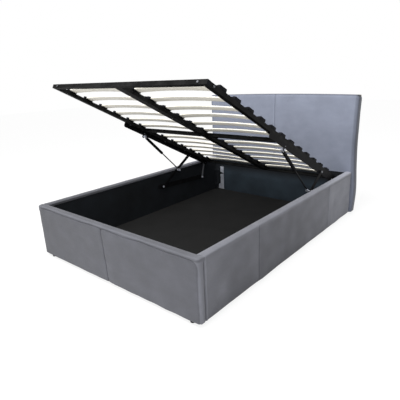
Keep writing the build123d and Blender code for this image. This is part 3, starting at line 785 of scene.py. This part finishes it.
# %% [markdown]
# ## Side rails
# The rails are covered like the footboard, without a border. Both come from one grid: the left
# one is the right one mirrored, with its own ripples, so that the two sides don't look copied,
# and its own painted shade along the top and the wrap inside, where light falls on it differently.

# %% Relief of the rails' covers
rail_low, rail_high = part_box("right_rail_cover")
rail_length = rail_high[1] - rail_low[1]
rail_tuck = 6 * mm
tuck_run = 40 * mm
rail_crown = 1.5 * mm
rail_seams = (0.491, 1.495)
rail_seam_shape = ((0.0, 2.5 * mm, 2.2 * mm), (45 * mm, 35 * mm, -2.0 * mm))
lip_setback = 6 * mm
lip_rise = 2.5 * mm
lip_width = 4 * mm
rail_wave_depth = 1.2 * mm


def rail_place(along, depth, height):
    """Along runs towards the headboard, depth runs from the outer face inwards. The first
    centimetres are drawn out a little, into the footboard's rounded end."""
    tucked = along - rail_tuck * ramp(tuck_run - along, tuck_run)
    return np.stack([rail_high[0] - depth, rail_low[1] + tucked, height], axis=-1)


def rail_relief(seed):
    """Gentle crown and ripples on the outer face, and two upright seams with slack beside them."""

    def relief(along, depth, height):
        front = ramp(relief_depth - depth, relief_depth)
        crown = rail_crown * hump(share_up(height, rail_low, rail_high)) ** 0.5
        seams = sum(bells(along - seam, rail_seam_shape) for seam in rail_seams)
        lip = lip_rise * valley(along - lip_setback, lip_width)
        return front * (crown + lip - seams + rail_wave_depth * ripple(along, height, seed, size=0.2))

    return relief


# %% Painted light and shade on the rails' covers
lip_highlight = 0.35
lip_shade_width = 4.5 * mm
seam_step = 30 * mm
middle_shade = 0.17
middle_fades_from = 0.95
middle_fading = 0.4
far_lift = 0.3
rail_lift = 0.08
low_shade = 0.22
dark_stretches = ((0.8, 0.6, 0.14), (0.3, 0.15, 0.18))
mottle_shade = 0.05
rail_seam_shade = 0.2
rail_seam_width = 4 * mm
front_ends = 0.96
top_begins = 0.95
edge_share = 0.04
wrap_depth = 6 * mm
wrap_top = 0.985
wrap_top_fading = 0.01


def rail_painted_light(top_near, top_far, wrap_near, wrap_far):
    """Painted highlight on the lip by the footboard, paler in the far panel; painted shade in the
    seams, in the middle panel, in two slow stretches and low down, with a random mottle. The top
    and the wrap inside have their own painted light and shade at their near and far ends."""

    def painted_light(along, depth, height):
        rise = share_up(height, rail_low, rail_high)
        front = facing(depth) * ramp(front_ends - rise, edge_share)
        lip = lip_highlight * valley(along - lip_setback, lip_shade_width) * (0.4 + 0.6 * rise)
        past_first, past_second = (ramp(along - seam + seam_step / 2, seam_step) for seam in rail_seams)
        fading = 1 - ramp(along - middle_fades_from, middle_fading)
        panel = middle_shade * past_first * (1 - past_second) * fading - far_lift * past_second
        slow = rail_lift - bells(along, dark_stretches) - low_shade * (1 - rise) ** 2
        mottle = mottle_shade * ripple(along, height, seed=51, size=0.15)
        seams = sum(rail_seam_shade * valley(along - seam, rail_seam_width) for seam in rail_seams)
        way = ramp(along, rail_length)
        top = (top_near + (top_far - top_near) * way**1.5) * ramp(rise - top_begins, edge_share)
        on_wrap = (depth > depth.max() - wrap_depth) * ramp(wrap_top - rise, wrap_top_fading)
        wrap = (wrap_near + (wrap_far - wrap_near) * way) * on_wrap
        return top + wrap + front * (lip + slow - panel - seams + mottle)

    return painted_light


# %% Rail covers
rail_end_round = 6 * mm
rail_step = 12 * mm
rail_fine_ends = 24 * mm
rail_seeds = {"right": 5, "left": 6}
# Painted light and shade on each rail's top and inner wrap, at its near and far ends
rail_shades = {"right": (0.0, 1.05, -0.4, -0.4), "left": (-0.48, 0.8, -0.6, 0.9)}
rail_profile = lined_profile(rail_low, rail_high, rail_high[0] - rail_low[0])
rail_stations = padded_stations(rail_length, rail_end_round, rail_step, rail_seams, rail_fine_ends)
rail_grids = padded_board(rail_profile, rail_stations, back_share=0.5, top_share=0.3)
for side, shades in rail_shades.items():
    padded_piece(
        side + "_rail_padding",
        side + "_rail_cover",
        "plush",
        rail_grids,
        rail_place,
        rail_relief(rail_seeds[side]),
        rail_painted_light(*shades),
        flipped=side == "left",
    )


# %% [markdown]
# ## Headboard
# The headboard has the thickest foam. Two cloth panels meet in an upright seam that sinks deep
# between them, and the cloth near it shows short slanting pulls. Its sides are not ruler
# straight: the cover draws in near the top and lets go near the floor.

# %% Outline and relief of the headboard's cover
head_low, head_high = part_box("headboard_cover")
head_length = head_high[0] - head_low[0]
head_thickness = head_high[1] - head_low[1]
head_round = 18 * mm
side_swells = ((0.86, 0.12, -4 * mm), (0.63, 0.17, -6 * mm), (0.18, 0.17, 14 * mm))
head_side_band = 0.1
head_top_band = 0.3
head_corner_band = 0.015
top_middle_lift = 3.0 * mm
top_side_sink = 10.0 * mm
top_corner_sink = 8.0 * mm
head_relief_depth = 14 * mm
head_crown = 3.0 * mm
head_seam_shape = ((0.0, 3.0 * mm, 4.5 * mm), (0.0, 14 * mm, 1.5 * mm))
pull_depth = 0.6 * mm
pull_reach = 60 * mm


def head_place(along, depth, height):
    """Along runs to the right, depth from the front backwards. The sides draw in under the top
    and swell lower down, and the top sinks towards its rounded corners."""
    x = head_low[0] + along
    out = np.abs(x) / (head_length / 2)
    rise = share_up(height, head_low, head_high)
    swell = bells(rise, side_swells) * ramp(out - 1 + head_side_band, head_side_band)
    at_corner = ramp(out - 1 + head_corner_band, head_corner_band)
    lift = top_middle_lift - top_side_sink * out**2 - top_corner_sink * at_corner**2
    near_top = ramp(rise - 1 + head_top_band, head_top_band)
    return np.stack([x + np.sign(x) * swell, head_low[1] + depth, height + lift * near_top], axis=-1)


def head_relief(along, depth, height):
    """On the front: crown of each half, minus the deep seam, plus slanting pulls and ripples."""
    x = along - head_length / 2
    front = ramp(head_relief_depth - depth, head_relief_depth)
    halves = hump(share_up(height, head_low, head_high)) * hump(np.abs(x) / (head_length / 2))
    crown = head_crown * halves**0.4
    slant = np.sin(height / (11 * mm) + np.abs(x) / (10 * mm))
    pulls = pull_depth * valley(x, pull_reach) * slant
    waves = wave_depth * ripple(x, height, seed=11, size=0.3)
    return front * (crown - bells(x, head_seam_shape) + pulls + waves)


# %% Painted light and shade on the headboard's cover
head_shade = 0.04
head_shades = ((0.54, 0.2, 0.13),)
head_side_shade = 0.3
hem_shade = 0.25
hem_width = 30 * mm
hem_fading = 12 * mm
side_from = 6 * mm
side_fading = 12 * mm
head_top_shade = 0.5
head_top_width = 14 * mm
head_top_fading = 13 * mm
head_seam_shades = ((0.0, 4 * mm, 0.16), (-10 * mm, 5 * mm, -0.07))


def head_painted_light(along, depth, height):
    """Painted shade in the seam, with a painted highlight beside it, along the hems and the top's
    edge and on the sides, and a little painted shade half-way up."""
    x = along - head_length / 2
    from_side = head_length / 2 - np.abs(x)
    slow = head_shade + bells(share_up(height, head_low, head_high), head_shades)
    side = head_side_shade * ramp(depth - side_from, side_fading) * (from_side < head_round)
    hem = hem_shade * ramp(hem_width - from_side, hem_fading)
    top = head_top_shade * ramp(height - head_high[2] + head_top_width, head_top_fading)
    return -slow - side - hem - top - bells(x, head_seam_shades)


# %% Headboard cover
head_step = 12 * mm
head_profile = padded_profile(head_thickness, head_low[2], head_high[2], head_round, head_step)
head_stations = padded_stations(head_length, head_round, head_step, [head_length / 2])
head_grids = padded_board(head_profile, head_stations, back_share=0.0)
padded_piece(
    "headboard_padding",
    "headboard_cover",
    "plush_painted_lit",
    head_grids,
    head_place,
    head_relief,
    head_painted_light,
)


# %% [markdown]
# ## Cloth inside and behind
# Lining, felt and dust cloth are single layers stretched flat over a board. Each is a front grid
# with small waves and a back grid a cloth's thickness behind, joined round the rim, so it is a
# real sheet with two sides rather than a painted wall.

# %% Flat cloths
cloth_grid = 25 * mm


def flat_cloth(
    name, node, finish, normal_axis, front_side, waves, seed, trim=0.0
):
    """A sheet over a CAD node's box, trimmed at its top and sides: its front face waves along
    normal_axis, its back is flat."""
    low, high = (np.array(corner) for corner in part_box(node))
    low[0] += trim
    high[0] -= trim
    high[2] -= trim
    u_axis, v_axis = [axis for axis in range(3) if axis != normal_axis]
    u, v = (
        np.linspace(low[axis], high[axis], 2 + int((high[axis] - low[axis]) / cloth_grid))
        for axis in (u_axis, v_axis)
    )
    u_grid, v_grid = np.meshgrid(u, v, indexing="ij")
    front, back = (high, low) if front_side > 0 else (low, high)
    wave = waves * (ripple(u_grid, v_grid, seed, size=0.25) * 0.5 - 0.5)
    sheet = np.empty((2, *u_grid.shape, 3))
    sheet[..., u_axis] = u_grid
    sheet[..., v_axis] = v_grid
    sheet[0, ..., normal_axis] = front[normal_axis] + front_side * wave
    sheet[1, ..., normal_axis] = back[normal_axis]
    points = np.concatenate([sheet[0], sheet[1][::-1]])
    made = piece(name, points, closed(points), finish, "base", smooth=False, stands_for=[node])


# %% Lining, felt and dust cloth
lining_waves = 0.8 * mm
for name, node, normal_axis, front_side, seed, board in (
    ("right_lining", "right_rail_lining", 0, -1, 21, "right_rail_board"),
    ("left_lining", "left_rail_lining", 0, 1, 22, "left_rail_board"),
    ("foot_lining", "footboard_lining", 1, 1, 23, "footboard_board"),
):
    flat_cloth(name, node, "lining", normal_axis, front_side, lining_waves, seed)
flat_cloth(
    "floor_felt",
    "floor_cloth",
    "felt",
    normal_axis=2,
    front_side=1,
    waves=0.3 * mm,
    seed=24,
)
flat_cloth(
    "back_dust_cloth",
    "headboard_back_sheet",
    "dust_cloth",
    normal_axis=1,
    front_side=1,
    waves=1.2 * mm,
    seed=25,
    trim=4 * mm,
)


# %% [markdown]
# In both head corners the rail's lining is turned in over the zinc bracket, cut by hand: its free
# edge wanders, a narrow tab reaches across, and it is notched low down. Only the bracket's far
# edge stays bare. Cloth cut and bent by hand follows no simple rule, but its bend is a quarter
# circle and its edge a sum of a notch, a tab and waves, so formulas are enough.

# %% Linings turned in over the corner brackets
bracket_low, bracket_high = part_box("corner_brackets")
lining_face = 0.6865
turn_in_reach = 55 * mm
turn_in_notch = 27 * mm
notch_top = 94 * mm
notch_run = 14 * mm
tab_reach = 42 * mm
tab_height = 205 * mm
tab_width = 11 * mm
edge_wander = 1.5 * mm
turn_in_bend = 5 * mm
turn_in_top = 0.345
turn_in_gaps = (1.2 * mm, 0.3 * mm)
bracket_leg = 45 * mm
bracket_steel = 3 * mm
leg_slack = 4 * mm
bolts_from_bend = (-13 * mm, 21 * mm)
bolt_rise = 45 * mm
bolt_hump = 5 * mm
bolt_width = 13 * mm
turn_in_waves = 1.0 * mm
turn_in_calm = 20 * mm
turn_in_lines = (48, 120)


def turn_in(side, seed):
    """Places on a turned-in lining and on its back. It runs along the rail's leg of the bracket,
    bends round the corner as a quarter circle, humps over the bolt heads and ends at the
    hand-cut edge."""
    shares = np.linspace(0, 1, turn_in_lines[0])
    heights = np.linspace(bracket_low[2], turn_in_top, turn_in_lines[1])
    share, height = np.meshgrid(shares, heights, indexing="ij")
    reach = turn_in_reach - turn_in_notch * ramp(notch_top - height, notch_run)
    reach = reach + tab_reach * valley(height - tab_height, tab_width) ** 2
    reach = reach + edge_wander * ripple(height, 0 * height, seed, size=0.05)
    straight = bracket_leg + leg_slack - turn_in_bend
    along = share * (straight + reach)
    angle = np.clip((along - straight) / turn_in_bend, 0, math.pi / 2)
    beyond = np.maximum(along - straight - turn_in_bend * math.pi / 2, 0)
    lift = turn_in_waves * ripple(along * 6, height, seed + 1, size=0.6) * ramp(along, turn_in_calm)
    for bolt_along in bolts_from_bend:
        for bolt_height in (bracket_low[2] + bolt_rise, bracket_high[2] - bolt_rise):
            from_bolt = np.hypot(along - straight - bolt_along, height - bolt_height)
            lift = lift + bolt_hump * valley(from_bolt, bolt_width)
    layers = []
    for gap in turn_in_gaps:
        off_steel = bracket_steel + gap + lift
        across = lining_face - off_steel - turn_in_bend * (1 - np.cos(angle)) - beyond
        from_corner = straight + turn_in_bend - np.minimum(along, straight) - turn_in_bend * np.sin(angle)
        depth = bracket_high[1] - off_steel - from_corner
        layers.append(np.stack([side * across, depth, height], axis=-1))
    return np.concatenate([layers[0], layers[1][::-1]])


for side_name, side, seed in (("right", 1, 41), ("left", -1, 43)):
    points = turn_in(side, seed)
    made = piece(side_name + "_lining_turn_in", points, closed(points), "lining", "base", smooth=False)


# %% [markdown]
# ## Slats and holders
# A sprung slat is thin laminated beech, pressed to a low arch, with rounded edges. A box could be
# bevelled and bent by modifiers, but the arch is a plain parabola, so a rounded rectangle is
# carried along it. Each end sits in a plastic pocket: one loop of points starts deep inside the
# pocket, comes out round the mouth, and wraps back over the outside to the closed end.

# %% Places on the raised slat frame
tilt = math.radians(26.55)
headboard_front = 0.9625
rail_top = 0.379
raised_head_setback = 151.6 * mm
raised_head_drop = 14.3 * mm
head_end_place = (headboard_front - raised_head_setback, rail_top - raised_head_drop)
frame_length = 1.83
frame_half = 0.659
slat_count = 13
first_slat = 0.13
last_slat_setback = 56 * mm
slat_pitch = (frame_length - first_slat - last_slat_setback) / (slat_count - 1)


def on_frame(across, along, up):
    """Room places of points given across, along from the foot end and up from the tubes' tops."""
    back = along - frame_length
    y = head_end_place[0] + back * math.cos(tilt) + up * math.sin(tilt)
    z = head_end_place[1] - back * math.sin(tilt) + up * math.cos(tilt)
    return np.stack(np.broadcast_arrays(across, y, z), axis=-1)


corner_points = 4


def rounded_loop(width, height, radius, roof_points=0):
    """A rounded rectangle as a loop of points, counter-clockwise from its lower right corner, with
    some more points along its top edge."""
    turn = np.linspace(0, math.pi / 2, corner_points)
    corners = [(1, -1, -math.pi / 2), (1, 1, 0.0), (-1, 1, math.pi / 2), (-1, -1, math.pi)]
    a = [sx * (width / 2 - radius) + radius * np.cos(turn + start) for sx, _, start in corners]
    b = [sy * (height / 2 - radius) + radius * np.sin(turn + start) for _, sy, start in corners]
    a, b = np.concatenate(a), np.concatenate(b)
    after = 2 * corner_points
    roof = np.linspace(a[after - 1], a[after], roof_points + 2)[1:-1]
    return np.insert(a, after, roof), np.insert(b, after, 0 * roof + height / 2)


print("slats stand", round(slat_pitch / mm, 1), "mm apart")

# %% Slats
slat_width = 53 * mm
slat_thickness = 8 * mm
slat_rise = 12 * mm
bowed_slat = ("right", 3)
bowed_rise = 18 * mm
slat_ends = (8.5 * mm, 653 * mm)
slat_edge = 3.4 * mm
slat_seat = 3 * mm
slat_stations = 25


def slat_points(middle, side, rise):
    """One slat: a rounded rectangle at places along a low arch, its height a parabola."""
    wide, high = rounded_loop(slat_width, slat_thickness, slat_edge)
    share = np.linspace(0, 1, slat_stations)
    across = slat_ends[0] + share * (slat_ends[1] - slat_ends[0])
    arch = slat_seat + slat_thickness / 2 + rise * hump(share)
    return on_frame(side * across[None, :], middle + wide[:, None], arch[None, :] + high[:, None])


def joined(grids):
    """Several grids as one mesh: their points in a row, their faces renumbered and outward."""
    points, faces, first = [], [], 0
    for grid in grids:
        points.append(grid.reshape(-1, 3))
        faces.append(closed(grid) + first)
        first += len(points[-1])
    return np.concatenate(points), np.concatenate(faces)


slat_middles = first_slat + slat_pitch * np.arange(slat_count)
for side_name, side in (("right", 1), ("left", -1)):
    rises = [bowed_rise if (side_name, i) == bowed_slat else slat_rise for i in range(slat_count)]
    grids = [slat_points(middle, side, rise) for middle, rise in zip(slat_middles, rises)]
    points, faces = joined(grids)
    node = side_name + "_slats"
    made = piece(side_name + "_sprung_slats", points, faces, "beech", "slat_frame", stands_for=[node])

# %% Slat holders
holder_size = (60 * mm, 35 * mm, 19 * mm)
pocket_size = (54 * mm, 31 * mm, 10.5 * mm)
pocket_floor = 3 * mm
pocket_middle = pocket_floor + pocket_size[2] / 2
holder_corner = 4 * mm
pocket_corner = 1.5 * mm
lip_scale = 0.03
end_round = 5 * mm
end_taper = 0.16
roof_lines = 8
end_lines = 5
roof_dip = 4 * mm
dip_width = 7 * mm
mouth_drop = 4.5 * mm
mouth_slope = 20 * mm


def holder_points(middle, closed_end, mouth):
    """A pocket: loops from its inner end out to the mouth and back over the outside, whose
    closed end shrinks along a quarter circle. A dip across the roof leaves two lobes, and the
    roof slopes down to the mouth."""
    mouth_way = 1 if mouth > closed_end else -1
    inner = rounded_loop(pocket_size[0], pocket_size[2], pocket_corner, roof_lines)
    outer = rounded_loop(holder_size[0], holder_size[2], holder_corner, roof_lines)
    outer_middle = holder_size[2] / 2
    inner_end = mouth - mouth_way * pocket_size[1]
    stations = [(inner, pocket_middle, inner_end, 1.0), (inner, pocket_middle, mouth - mouth_way * mm, 1.0)]
    stations.append((inner, pocket_middle, mouth, 1 + lip_scale))
    stations.append((outer, outer_middle, mouth, 1 - lip_scale))
    for setback in (mm, mouth_slope / 2, mouth_slope):
        stations.append((outer, outer_middle, mouth - mouth_way * setback, 1.0))
    for angle in np.linspace(0, math.pi / 2, end_lines):
        x = closed_end + mouth_way * end_round * (1 - math.sin(angle))
        stations.append((outer, outer_middle, x, 1 - end_taper * (1 - math.cos(angle))))
    loops = []
    for loop, up, x, scale in stations:
        high = ramp(loop[1], outer_middle) if loop is outer else 0
        slope = mouth_drop * ramp(mouth_slope - abs(mouth - x), mouth_slope)
        dip = high * np.maximum(roof_dip * valley(loop[0], dip_width) * (slope < mouth_drop / 2), slope)
        loops.append(on_frame(x, middle + scale * loop[0], up + scale * loop[1] - dip))
    return np.stack(loops, axis=1)


holder_gap = 2.5 * mm
outer_ends = (frame_half, frame_half - holder_size[1])
inner_ends = (holder_gap, holder_gap + holder_size[1])
for name, (closed_end, mouth) in (("outer", outer_ends), ("inner", inner_ends)):
    grids = [
        holder_points(middle, side * closed_end, side * mouth) for middle in slat_middles for side in (1, -1)
    ]
    points, faces = joined(grids)
    made = piece(
        name + "_pockets", points, faces, "moulded_plastic", "slat_frame", stands_for=[name + "_slat_holders"]
    )


# %% [markdown]
# ## Everything that keeps its own shape
# Tubes, arms, struts, brackets and bolts are already right as they were built. They only need
# their finish, and the record says which each one wears. A short second list names the few that
# wear another: a duller zinc, and for the head-end panel a paler lining with painted light and shade.

# %% Finishes for the built parts
finish_of_slot = {
    "upholstery": "plush",
    "lining": "lining",
    "floor_felt": "felt",
    "back_cloth": "dust_cloth",
    "board": "raw_board",
    "beech": "beech",
    "frame_steel": "powder_coat",
    "lift_steel": "black_paint",
    "zinc": "zinc",
    "rod_steel": "piston_steel",
    "black_plastic": "moulded_plastic",
}
finish_of_node = {
    # The head-end panel's finish is a paler copy of the lining: painted light, with painted shade near its
    # top.
    "head_end_panel": "end_lining",
    "frame_bolts": "dull_zinc",
    "frame_pivot_bolts": "dull_zinc",
    "left_rear_arm": "dull_zinc",
    "right_rear_arm": "dull_zinc",
}
for subpart in frame["record"]["subparts"]:
    built = frame["nodes"][subpart["node"]]
    finish = finish_of_node.get(subpart["node"], finish_of_slot[subpart["material_slot"]])
    for slot in built.material_slots:
        slot.material = materials[finish]


# %% [markdown]
# ## Floor and light
# The bed stands on a plain white floor in an even white room. A strong lamp would bleach the
# cloth, so the white comes from how the camera sees the room: light path nodes show it white to
# the lens and to shiny metal, while what it gives the bed stays modest. One broad lamp above the
# foot end lifts the tops and the headboard, as in the photograph. A second one, low and far
# beyond the foot end, is linked to the slats alone, because their undersides are bright there.

# %% White room
floor_size = 30.0
floor_glow = 1.16
floor_glow_share = 0.75
floor_roughness = 0.9
room_light = 0.5
white = (1, 1, 1, 1)
pale_grey = (0.8, 0.8, 0.8, 1)


def white_for_lens(tree):
    """1 for rays from the camera, from shiny surfaces and through glass, 0 for the rest."""
    outputs = new_node(tree, "ShaderNodeLightPath").socket.node.outputs
    kinds = ("Is Camera Ray", "Is Glossy Ray", "Is Transmission Ray")
    camera_ray, glossy_ray, glass_ray = (Field(tree, outputs[kind]) for kind in kinds)
    return (camera_ray + glossy_ray + glass_ray).clamp()


world = bpy.data.worlds.new("white_room")
world.use_nodes = True
bpy.context.scene.world = world
sky = world.node_tree.nodes["Background"]
sky.inputs["Color"].default_value = white
strength = white_for_lens(world.node_tree) * (1 - room_light) + room_light
world.node_tree.links.new(strength.socket, sky.inputs["Strength"])

corner = floor_size / 2
floor_mesh = bpy.data.meshes.new("floor")
floor_mesh.from_pydata(
    [(-corner, -corner, 0), (corner, -corner, 0), (corner, corner, 0), (-corner, corner, 0)],
    [],
    [(0, 1, 2, 3)],
)
floor = add_object("floor", floor_mesh)
floor_paint = bpy.data.materials.new("floor_paint")
floor_paint.use_nodes = True
tree = floor_paint.node_tree
paint = tree.nodes["Principled BSDF"]
paint.inputs["Base Color"].default_value = pale_grey
paint.inputs["Roughness"].default_value = floor_roughness
glow = new_node(tree, "ShaderNodeEmission", {}, {"Color": white, "Strength": floor_glow})
share = white_for_lens(tree) * floor_glow_share
shaders = {0: share, 1: Field(tree, paint.outputs[0]), 2: glow}
seen = new_node(tree, "ShaderNodeMixShader", {}, shaders)
tree.links.new(seen.socket, tree.nodes["Material Output"].inputs[0])
floor_mesh.materials.append(floor_paint)
print("white floor", floor_size, "m wide")


# %% Lamps
def soft_lamp(name, place, target, width, watts, only_on=None):
    """A square area lamp at a place, facing its target; it may light only some pieces."""
    data = bpy.data.lights.new(name, "AREA")
    data.size = width
    data.energy = watts
    back = np.array(place) - np.array(target)
    back = back / np.linalg.norm(back)
    right = np.cross((0, 1, 0.01), back)
    right = right / np.linalg.norm(right)
    lamp = add_object(name, data, (right, np.cross(back, right), back), place)
    if only_on:
        lit = bpy.data.collections.new(name + "_lights")
        for thing in only_on:
            lit.objects.link(thing)
        lamp.light_linking.receiver_collection = lit
    print(name, watts, "W")


soft_lamp("lamp_above_foot", place=(0.1, -1.5, 3.8), target=(0.0, 0.3, 0.4), width=2.2, watts=150.0)
slats = [thing for thing in bpy.data.objects if thing.name.endswith("sprung_slats")]
soft_lamp(
    "slat_lamp", place=(0.5, -9.0, 0.9), target=(0.0, 0.0, 0.8), width=1.6, watts=320.0, only_on=slats
)
